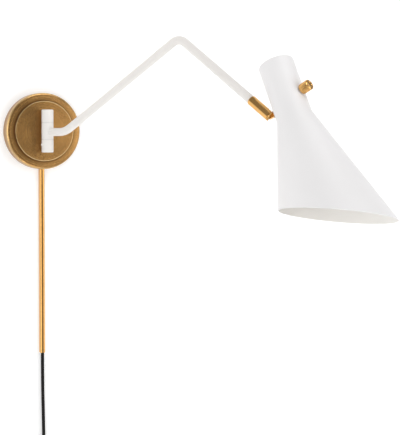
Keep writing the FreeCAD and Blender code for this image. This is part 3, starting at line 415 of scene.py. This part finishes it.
def dress_nodes():
    """Gives the CAD nodes their finishes from the table below; the cover's brass has drawn lines."""
    groups = {
        "satin_brass": ["canopy", "canopy_disc"],
        "polished_brass": ["swivel_sleeve", "knuckle_end", "pivot_screw", "knuckle_tongue",
                           "arm_stud", "neck_finial"],
        "cover_brass": ["cord_cover"],
        "white_coat": ["hinge_bracket", "barrel_caps", "arm_knuckle", "arm_tube", "hinge_set_screw"],
        "shade_coat": ["shade"],
        "zinc_steel": ["wall_bracket", "pivot_tube", "stem_washer", "stem_nut", "lamp_nipple", "nipple_nut",
                       "foot_nut", "stud_nut", "cover_clips", "switch_shaft", "knob_grub_screw",
                       "spring_washer", "switch_nut"],
        "green_screw": ["ground_screw"],
        "nylon": ["thrust_washers"],
        "splice_caps": ["wire_nuts"],
        "black_rubber": ["cord_grommet"],
        "black_lead": ["lead_in_cover", "black_wires"],
        "arm_cable": ["arm_wire", "white_wires"],
        "socket_black": ["socket_cap", "lamp_socket", "switch_body"],
        "plug_brass": ["plug_blades", "socket_shell", "socket_contact"],
        "black_plug": ["plug_relief", "plug_body"],
        "black_tie": ["coil_tie"],
    }
    for finish, nodes in groups.items():
        for node in nodes:
            dress(frame["nodes"][node], finish)


# Modelling helpers

def select_none():
    bpy.ops.object.select_all(action="DESELECT")


def started(name):
    """Names the primitive just added and opens it in edit mode, all selected."""
    piece = bpy.context.object
    piece.name = name
    piece.data.name = name
    bpy.ops.object.mode_set(mode="EDIT")
    bpy.ops.mesh.select_mode(type="VERT")
    bpy.ops.mesh.select_all(action="SELECT")
    return piece


def finished(piece, placement, smooth_angle=30):
    """Leaves edit mode, shades smooth below the angle and puts the piece's place into its mesh."""
    if bpy.context.mode == "EDIT_MESH":
        bpy.ops.object.mode_set(mode="OBJECT")
    select_none()
    piece.select_set(True)
    bpy.context.view_layer.objects.active = piece
    piece.matrix_world = placement
    bpy.ops.object.transform_apply(location=True, rotation=True, scale=True)
    if smooth_angle:
        bpy.ops.object.shade_smooth_by_angle(angle=math.radians(smooth_angle))
    return piece


def modified(piece, kind, **settings):
    """Adds a modifier, sets it and applies it."""
    bpy.context.view_layer.objects.active = piece
    modifier = piece.modifiers.new(kind.lower(), kind)
    for key, value in settings.items():
        setattr(modifier, key, value)
    bpy.ops.object.modifier_apply(modifier=modifier.name)


def lathed(name, outline, sides):
    """A surface turned about Z, open in edit mode: a ring at the first (radius, height), extruded on."""
    select_none()
    radius, height = outline[0]
    bpy.ops.mesh.primitive_circle_add(vertices=sides, radius=radius, location=(0, 0, 0))
    piece = started(name)
    bpy.ops.transform.translate(value=(0, 0, height))
    for next_radius, next_height in outline[1:]:
        bpy.ops.mesh.extrude_edges_move(TRANSFORM_OT_translate={"value": (0, 0, next_height - height)})
        grow = next_radius / radius
        bpy.ops.transform.resize(value=(grow, grow, 1), center_override=(0, 0, next_height))
        radius, height = next_radius, next_height
    return piece


def picked(piece, wanted):
    """In edit mode: selects just the vertices whose place passes the test."""
    bpy.ops.object.mode_set(mode="OBJECT")
    for edge in piece.data.edges:
        edge.select = False
    for face in piece.data.polygons:
        face.select = False
    for vertex in piece.data.vertices:
        vertex.select = wanted(vertex.co)
    bpy.ops.object.mode_set(mode="EDIT")


def brick(name, low, high, cuts=0):
    """A box between two corners, open in edit mode; cuts divides each side."""
    select_none()
    bpy.ops.mesh.primitive_cube_add(size=1, location=(0, 0, 0))
    piece = started(name)
    bpy.ops.transform.resize(value=high - low, center_override=(0, 0, 0))
    bpy.ops.transform.translate(value=(low + high) / 2)
    if cuts:
        bpy.ops.mesh.subdivide(number_cuts=cuts)
    return piece


def settled(piece, body, finish, *nodes):
    """Puts a finished piece on its body and hides the CAD nodes that it stands for."""
    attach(piece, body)
    if nodes:
        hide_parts(*nodes)


def facing_out():
    """In edit mode: merges doubles and turns every face outwards."""
    bpy.ops.mesh.select_all(action="SELECT")
    bpy.ops.mesh.remove_doubles(threshold=1e-6)
    bpy.ops.mesh.normals_make_consistent(inside=False)


def ends_filled():
    """In edit mode: closes open ends with faces."""
    bpy.ops.mesh.select_all(action="DESELECT")
    bpy.ops.mesh.select_non_manifold()
    bpy.ops.mesh.edge_face_add()


def round_corner(centre, radius, first, last, steps):
    """Points (radius, height) of an arc in the turning plane, from one angle to another in degrees."""
    points = []
    for k in range(steps + 1):
        angle = math.radians(first + (last - first) * k / steps)
        points.append((centre[0] + radius * math.cos(angle), centre[1] + radius * math.sin(angle)))
    return points


# Shade

def shade_shell():
    """Straight neck and coaxial cone in one thin wall, cut off by a tilted plane, with a softened rim."""
    slope = math.tan(CONE_HALF_ANGLE)
    outline = [(NIPPLE_R, NECK_LONG), (0.5 * NECK_R, NECK_LONG)]
    outline += round_corner((NECK_R - NECK_EDGE_R, NECK_LONG - NECK_EDGE_R), NECK_EDGE_R, 90, 0, 6)
    outline += [(NECK_R, 0.5 * NECK_LONG), (NECK_R, 0), (NECK_R + CONE_REACH * slope, -CONE_REACH)]
    piece = lathed("shade_shell", outline, 160)
    facing_out()
    bpy.ops.mesh.select_all(action="SELECT")
    bpy.ops.mesh.bisect(plane_co=(0, 0, -CUT_ALONG), plane_no=(-math.sin(CUT_TILT), 0, -math.cos(CUT_TILT)),
                        clear_outer=True)
    bpy.ops.object.mode_set(mode="OBJECT")
    dress(piece, "shade_coat", "shade_inside_painted_bounce")
    modified(piece, "SOLIDIFY", thickness=SHADE_WALL, offset=-1, use_even_offset=True, material_offset=1)
    drill_vents(piece)
    modified(piece, "BEVEL", width=EASED_EDGE, segments=2, limit_method="ANGLE", angle_limit=math.radians(50))
    finished(piece, SHADE_FRAME, 22)
    settled(piece, SHADE, "shade_coat", "shade")


def drill_vents(piece):
    """Cuts the ring of vent holes through the neck's top."""
    select_none()
    drills = []
    for k in range(VENT_COUNT):
        angle = math.radians((k + 0.5) * 360 / VENT_COUNT)
        place = (VENT_R * math.cos(angle), VENT_R * math.sin(angle), NECK_LONG)
        bpy.ops.mesh.primitive_cylinder_add(vertices=24, radius=VENT_HOLE_R, depth=6 * SHADE_WALL,
                                            location=place)
        drills.append(bpy.context.object)
    for drill in drills:
        drill.select_set(True)
    bpy.ops.object.join()
    joined = bpy.context.object
    modified(piece, "BOOLEAN", operation="DIFFERENCE", object=joined, solver="EXACT")
    bpy.data.objects.remove(joined)


# Knob

def on_rib(place, ribs):
    """True on every other line of points round the Z axis."""
    turn = math.atan2(place.y, place.x) * ribs / math.tau
    return abs(turn - round(turn)) < 0.25


def ribbed_knob():
    """Turned knob with straight ribs, bevelled ends, a shallow dish outside and a recess inside."""
    low_r = KNOB_R - KNOB_RIB_DEEP
    outline = [(low_r - KNOB_EDGE, 0), (low_r, 0.7 * KNOB_EDGE), (low_r, KNOB_LONG - 0.7 * KNOB_EDGE),
               (low_r - KNOB_EDGE, KNOB_LONG), (KNOB_CAP_R, KNOB_LONG),
               (KNOB_CAP_R - 0.5 * MM, KNOB_LONG - 0.5 * MM), (0.4 * KNOB_CAP_R, KNOB_LONG - 0.62 * MM),
               (0.02 * MM, KNOB_LONG - 0.65 * MM)]
    piece = lathed("knob", outline, 2 * KNOB_RIBS)
    picked(piece, lambda place: place.xy.length > low_r - 0.01 * MM and on_rib(place, KNOB_RIBS))
    bpy.ops.transform.resize(value=(KNOB_R / low_r, KNOB_R / low_r, 1), center_override=(0, 0, 0))
    picked(piece, lambda place: place.z < 0.01 * MM and place.xy.length < low_r - 0.5 * KNOB_EDGE)
    bpy.ops.mesh.extrude_edges_move(TRANSFORM_OT_translate={"value": (0, 0, 0)})
    to_recess = KNOB_RECESS_R / (low_r - KNOB_EDGE)
    bpy.ops.transform.resize(value=(to_recess, to_recess, 1), center_override=(0, 0, 0))
    bpy.ops.mesh.extrude_edges_move(TRANSFORM_OT_translate={"value": (0, 0, KNOB_RECESS_DEPTH)})
    bpy.ops.mesh.extrude_edges_move(TRANSFORM_OT_translate={"value": (0, 0, 0)})
    shrink = 0.01
    bpy.ops.transform.resize(value=(shrink, shrink, 1), center_override=(0, 0, KNOB_RECESS_DEPTH))
    ends_filled()
    facing_out()
    bpy.ops.object.mode_set(mode="OBJECT")
    modified(piece, "BEVEL", width=RIB_EDGE, segments=2, limit_method="ANGLE", angle_limit=math.radians(28))
    dress(piece, "polished_brass")
    finished(piece, KNOB_FRAME, 40)
    settled(piece, KNOB, "polished_brass", "switch_knob")


# Canopy

def canopy_pan():
    """Spun pan with a soft shoulder, the stem's hole and a notch in its rim for the lead."""
    inner_r = CANOPY_R - CANOPY_WALL
    inner_top = CANOPY_DEPTH - CANOPY_WALL
    outer, inner = [], []
    for k in range(9):
        angle = math.radians(90 * k / 8)
        across, up = math.cos(angle), math.sin(angle)
        outer.append((CANOPY_R - SHOULDER_WIDE * (1 - across), CANOPY_DEPTH - SHOULDER_DEEP * (1 - up)))
        inner.append((inner_r - SHOULDER_WIDE * (1 - across), inner_top - SHOULDER_DEEP * (1 - up)))
    outline = [(inner_r, 0), (CANOPY_R, 0)] + outer + [(STEM_R, CANOPY_DEPTH), (STEM_R, inner_top)]
    piece = lathed("canopy_pan", outline + inner[::-1] + [(inner_r, 0)], 128)
    facing_out()
    bpy.ops.object.mode_set(mode="OBJECT")
    dress(piece, "satin_brass")
    finished(piece, Matrix.Rotation(math.radians(90), 4, "X"), None)
    notch = brick("notch", Vector((COVER_X - NOTCH_HALF, -NOTCH_DEEP, -CANOPY_R - 6 * MM)),
                  Vector((COVER_X + NOTCH_HALF, NOTCH_DEEP, -CANOPY_R + 8 * MM)))
    bpy.ops.object.mode_set(mode="OBJECT")
    modified(notch, "BEVEL", width=0.98 * NOTCH_HALF, segments=8, limit_method="ANGLE")
    modified(piece, "BOOLEAN", operation="DIFFERENCE", object=notch, solver="EXACT")
    bpy.data.objects.remove(notch)
    finished(piece, Matrix(), 25)
    settled(piece, WALL_MOUNT, "satin_brass", "canopy")


def splice_caps():
    """Two ribbed caps, one modelled and one copied."""
    outline = [(CAP_BASE_R, 0), (CAP_BASE_R, 0.2 * CAP_LONG), (0.93 * CAP_BASE_R, 0.24 * CAP_LONG),
               (CAP_TIP_R, 0.93 * CAP_LONG), (0.7 * CAP_TIP_R, CAP_LONG)]
    left = lathed("splice_cap_left", outline, 2 * CAP_RIBS)
    picked(left, lambda place: 0.22 * CAP_LONG < place.z < 0.95 * CAP_LONG and on_rib(place, CAP_RIBS))
    bpy.ops.transform.resize(value=(CAP_GROOVE, CAP_GROOVE, 1), center_override=(0, 0, 0))
    ends_filled()
    facing_out()
    bpy.ops.object.mode_set(mode="OBJECT")
    dress(left, "splice_caps")
    right = left.copy()
    right.data = left.data.copy()
    right.name = "splice_cap_right"
    bpy.context.scene.collection.objects.link(right)
    for piece, x in ((left, -CAP_X), (right, CAP_X)):
        finished(piece, Matrix.Translation((x, -CAP_OUT, CAP_Z)), 35)
        settled(piece, WALL_MOUNT, "splice_caps", "wire_nuts")


# Finial

def domed_finial():
    """Low domed nut that closes the neck's top, with a bead at its foot."""
    bead = (FINIAL_BEAD_R - FINIAL_ROUND, FINIAL_ROUND)
    outline = [(FINIAL_BEAD_R, 0)] + round_corner(bead, FINIAL_ROUND, -10, 90, 5)
    outline += [(FINIAL_DOME_R, FINIAL_FOOT)]
    for k in range(1, 9):
        angle = math.radians(90 * k / 8)
        radius = max(FINIAL_DOME_R * math.cos(angle), 0.05 * MM)
        outline.append((radius, FINIAL_FOOT + FINIAL_RISE * math.sin(angle)))
    piece = lathed("domed_finial", outline, 64)
    ends_filled()
    facing_out()
    bpy.ops.object.mode_set(mode="OBJECT")
    dress(piece, "polished_brass")
    finished(piece, SHADE_FRAME @ Matrix.Translation((0, 0, NECK_LONG)), 35)
    settled(piece, SHADE, "polished_brass", "neck_finial")


# Strap and plug

def coil_strap():
    """Woven strap round all the turns, with rounded corners."""
    piece = brick("coil_strap", TIE_LOW, TIE_HIGH)
    bpy.ops.mesh.select_mode(type="FACE")
    bpy.ops.mesh.select_all(action="DESELECT")
    bpy.ops.object.mode_set(mode="OBJECT")
    for face in piece.data.polygons:
        face.select = abs(face.normal.z) > 0.9
    bpy.ops.object.mode_set(mode="EDIT")
    bpy.ops.mesh.delete(type="ONLY_FACE")
    bpy.ops.mesh.select_mode(type="VERT")
    bpy.ops.object.mode_set(mode="OBJECT")
    dress(piece, "black_tie")
    modified(piece, "BEVEL", width=TIE_CORNER_R, segments=6, limit_method="ANGLE")
    modified(piece, "SOLIDIFY", thickness=TIE_THICK, offset=-1, use_even_offset=True)
    modified(piece, "BEVEL", width=EASED_EDGE, segments=2, limit_method="ANGLE", angle_limit=math.radians(50))
    finished(piece, Matrix(), 35)
    settled(piece, WALL_MOUNT, "black_tie", "coil_tie")
    return piece


def plug_boot():
    """Tapered strain relief with grooves cut round it."""
    outline = [(BOOT_FOOT_R, 0)]
    pitch = BOOT_LONG / (BOOT_GROOVES + 1)
    fall = (BOOT_FOOT_R - BOOT_TIP_R) / BOOT_LONG
    for k in range(BOOT_GROOVES):
        height = pitch * (k + 0.6)
        radius = BOOT_FOOT_R - fall * height
        outline += [(radius, height), (radius - BOOT_GROOVE_DEEP, height + 0.3 * MM),
                    (radius - BOOT_GROOVE_DEEP, height + 1.2 * MM), (radius - 0.1 * MM, height + 1.5 * MM)]
    outline += [(BOOT_TIP_R, BOOT_LONG - 0.4 * MM), (BOOT_TIP_R - 0.4 * MM, BOOT_LONG)]
    piece = lathed("plug_boot", outline, 40)
    ends_filled()
    facing_out()
    bpy.ops.object.mode_set(mode="OBJECT")
    dress(piece, "black_plug")
    finished(piece, Matrix.Translation(PLUG_TOP), 35)
    settled(piece, WALL_MOUNT, "black_plug", "plug_relief")
    return piece


def plug_shell():
    """Moulded plug body, waisted at the sides and ribbed front and back for the fingers."""
    half = PLUG_SIZE / 2
    rise = PLUG_SIZE.z / (PLUG_CUTS + 1)

    def on_waist(place):
        return abs(place.x) > 0.99 * half.x and abs(place.z) < WAIST_HALF

    def on_grip(place):
        near = abs(place.x) < GRIP_HALF_WIDE and abs(place.z) < GRIP_HALF_TALL
        return abs(place.y) > 0.99 * half.y and near and round((place.z + half.z) / rise) % 2 == 0

    piece = brick("plug_shell", -half, half, PLUG_CUTS)
    picked(piece, on_waist)
    bpy.ops.transform.resize(value=(0.90, 1, 1), center_override=(0, 0, 0))
    picked(piece, on_grip)
    bpy.ops.transform.resize(value=(1, 0.92, 1), center_override=(0, 0, 0))
    bpy.ops.object.mode_set(mode="OBJECT")
    dress(piece, "black_plug")
    modified(piece, "SUBSURF", levels=2)
    finished(piece, Matrix.Translation(PLUG_TOP - Vector((0, 0, half.z))), 40)
    settled(piece, WALL_MOUNT, "black_plug", "plug_body")
    return piece


def plug_blades():
    """Two blades with eased edges and a hole near the tip, one modelled and one copied."""
    half = BLADE_SIZE / 2
    left = brick("plug_blade_left", -half, half)
    bpy.ops.object.mode_set(mode="OBJECT")
    dress(left, "plug_brass")
    modified(left, "BEVEL", width=0.35 * MM, segments=2, limit_method="ANGLE")
    select_none()
    bpy.ops.mesh.primitive_cylinder_add(vertices=32, radius=BLADE_HOLE_R, depth=4 * BLADE_SIZE.x,
                                        location=(0, 0, BLADE_HOLE_UP - half.z),
                                        rotation=(0, math.radians(90), 0))
    drill = bpy.context.object
    modified(left, "BOOLEAN", operation="DIFFERENCE", object=drill, solver="EXACT")
    bpy.data.objects.remove(drill)
    right = left.copy()
    right.data = left.data.copy()
    right.name = "plug_blade_right"
    bpy.context.scene.collection.objects.link(right)
    middle = PLUG_TOP - Vector((0, 0, PLUG_SIZE.z - BLADE_ROOT + half.z))
    for piece, side in ((left, -1), (right, 1)):
        finished(piece, Matrix.Translation(middle + Vector((side * BLADE_SPACING / 2, 0, 0))), 35)
        settled(piece, WALL_MOUNT, "plug_brass", "plug_blades")
    return [left, right]


# Free lead

LEAD_ROUTE = [
    (0.0010, -0.0052, -0.3668),
    (0.0010, -0.0052, -0.4208),
    (0.0022, -0.0056, -0.4788),
    (0.0026, -0.0062, -0.5328),
]
TAIL_ROUTE = [
    (0.0026, -0.0118, -0.57325),
    (0.0019, -0.0118, -0.59125),
    (0.0019, -0.0118, -0.60925),
]
# The coil's turns as they are wound: steps out from the middle turn, and y in front of the wall
TURNS = [(1, -0.0062), (0, -0.00335), (-1, -0.0062), (-1, -0.0118),
         (0, -0.00895), (0, -0.01455), (1, -0.0118)]


def coil_points():
    """The wound turns, counter-clockwise from the left side; each crosses before the one under it."""
    points = []
    swell = 1 / math.cos(math.pi / TURN_POINTS)
    last = len(TURNS) - 1
    for number, (step_out, out) in enumerate(TURNS):
        next_step, next_out = TURNS[min(number + 1, last)]
        crossing_start = CROSSING_START - CROSSING * number
        stops = TURN_POINTS + 1 if number == last else TURN_POINTS
        for k in range(stops):
            angle = k * math.tau / TURN_POINTS
            along = min(max((angle - crossing_start) / CROSSING, 0), 1)
            eased = along * along * (3 - 2 * along)
            radius = (COIL_R + TURN_STEP * (step_out + (next_step - step_out) * eased)) * swell
            y = out + (next_out - out) * eased
            points.append((COIL_X - radius * math.cos(angle), y, COIL_Z - radius * math.sin(angle)))
    return points


def free_lead(far_pieces):
    """The round black lead in one spline: down from the cover, round the coil and on to the plug."""
    points = LEAD_ROUTE + coil_points() + TAIL_ROUTE
    curve = bpy.data.curves.new("free_lead", "CURVE")
    curve.dimensions = "3D"
    spline = curve.splines.new("NURBS")
    spline.points.add(len(points) - 1)
    for point, place in zip(spline.points, points):
        point.co = (*place, 1)
    spline.order_u = 3
    spline.use_endpoint_u = True
    spline.resolution_u = 6
    curve.bevel_depth = LEAD_R
    curve.bevel_resolution = 6
    curve.use_fill_caps = True
    piece = bpy.data.objects.new("free_lead", curve)
    bpy.context.scene.collection.objects.link(piece)
    dress(piece, "black_lead")
    settled(piece, WALL_MOUNT, "black_lead", "lead", "lead_coil", "lead_tail")


# Stage: wall, floor, lights and camera

def plain(name, colour, rough, glow=0.0):
    """Plain paint for the stage, with a faint mottle."""
    finish = Finish(name, roughness=rough)
    speck = finish.grain(finish.place(), 30, 2.0)
    finish.feed("Base Color", finish.tint(speck, tuple(0.985 * c for c in colour), colour))
    finish.shader.inputs["Emission Color"].default_value = (1, 1, 1, 1)
    finish.shader.inputs["Emission Strength"].default_value = glow
    return finish.material


def one_sided(material):
    """Lets the wall be seen from the room only."""
    tree = material.node_tree
    mix = tree.nodes.new("ShaderNodeMixShader")
    clear = tree.nodes.new("ShaderNodeBsdfTransparent")
    side = tree.nodes.new("ShaderNodeNewGeometry")
    tree.links.new(side.outputs["Backfacing"], mix.inputs["Fac"])
    tree.links.new(tree.nodes["Principled BSDF"].outputs[0], mix.inputs[1])
    tree.links.new(clear.outputs[0], mix.inputs[2])
    tree.links.new(mix.outputs[0], tree.nodes["Material Output"].inputs["Surface"])


def stage():
    wall_paint = plain("wall_paint", (0.86, 0.86, 0.86), 0.9, WALL_GLOW)
    one_sided(wall_paint)
    select_none()
    bpy.ops.mesh.primitive_plane_add(size=WALL_SIZE, location=(0, WALL_BACK, WALL_Z),
                                     rotation=(math.radians(90), 0, 0))
    wall = bpy.context.object
    wall.name = "wall"
    wall.data.materials.append(wall_paint)
    bpy.ops.mesh.primitive_plane_add(size=FLOOR_SIZE, location=(0, 0, FLOOR_Z))
    floor = bpy.context.object
    floor.name = "floor"
    floor.data.materials.append(plain("floor_paint", (0.80, 0.80, 0.79), 0.7))


# Each light: name, degrees to the right of straight in front, degrees above level, size and power
LIGHTS = [
    ("right", 45, 0, (1.5, 1.8), 19),
    ("left", -50, 0, (1.2, 1.8), 20),
    ("front_high", 15, 50, (1.4, 1.0), 16),
    ("front_low", 0, -45, (1.4, 1.0), 28),
]
SKY = 0.31
LIGHT_FAR = 2.4
LIGHT_AIM = Vector((0.1, -0.25, 0))

WALL_GLOW = 0.30
WALL_SIZE = 5
WALL_BACK = 0.0004
WALL_Z = 0.9
FLOOR_SIZE = 8
FLOOR_Z = -1.6


def softbox(name, around, up, size, power):
    """A square light aimed at the arm."""
    lamp = bpy.data.lights.new(name, "AREA")
    lamp.shape = "RECTANGLE"
    lamp.size, lamp.size_y = size
    lamp.energy = power
    holder = bpy.data.objects.new(name, lamp)
    turn, rise = math.radians(around), math.radians(up)
    way = Vector((math.sin(turn) * math.cos(rise), -math.cos(turn) * math.cos(rise), math.sin(rise)))
    holder.location = LIGHT_AIM + LIGHT_FAR * way
    holder.rotation_euler = (-way).to_track_quat("-Z", "Y").to_euler()
    bpy.context.scene.collection.objects.link(holder)


def light():
    world = bpy.data.worlds.new("studio")
    world.use_nodes = True
    world.node_tree.nodes["Background"].inputs["Color"].default_value = (1, 1, 1, 1)
    world.node_tree.nodes["Background"].inputs["Strength"].default_value = SKY
    bpy.context.scene.world = world
    for name, around, up, size, power in LIGHTS:
        softbox(name, around, up, size, power)


def camera():
    data = bpy.data.cameras.new("camera")
    data.sensor_width = 36
    data.lens = 99.49
    data.shift_x = 0.0760
    data.shift_y = -0.0935
    holder = bpy.data.objects.new("camera", data)
    holder.location = (-0.5725, -1.9136, -0.0062)
    holder.rotation_euler = (math.radians(88), 0, math.radians(-22.67))
    bpy.context.scene.collection.objects.link(holder)
    bpy.context.scene.camera = holder


dress_nodes()
shade_shell()
ribbed_knob()
canopy_pan()
splice_caps()
domed_finial()
free_lead([coil_strap(), plug_boot(), plug_shell(), *plug_blades()])
stage()
light()
camera()
bpy.context.scene.view_settings.view_transform = "Standard"
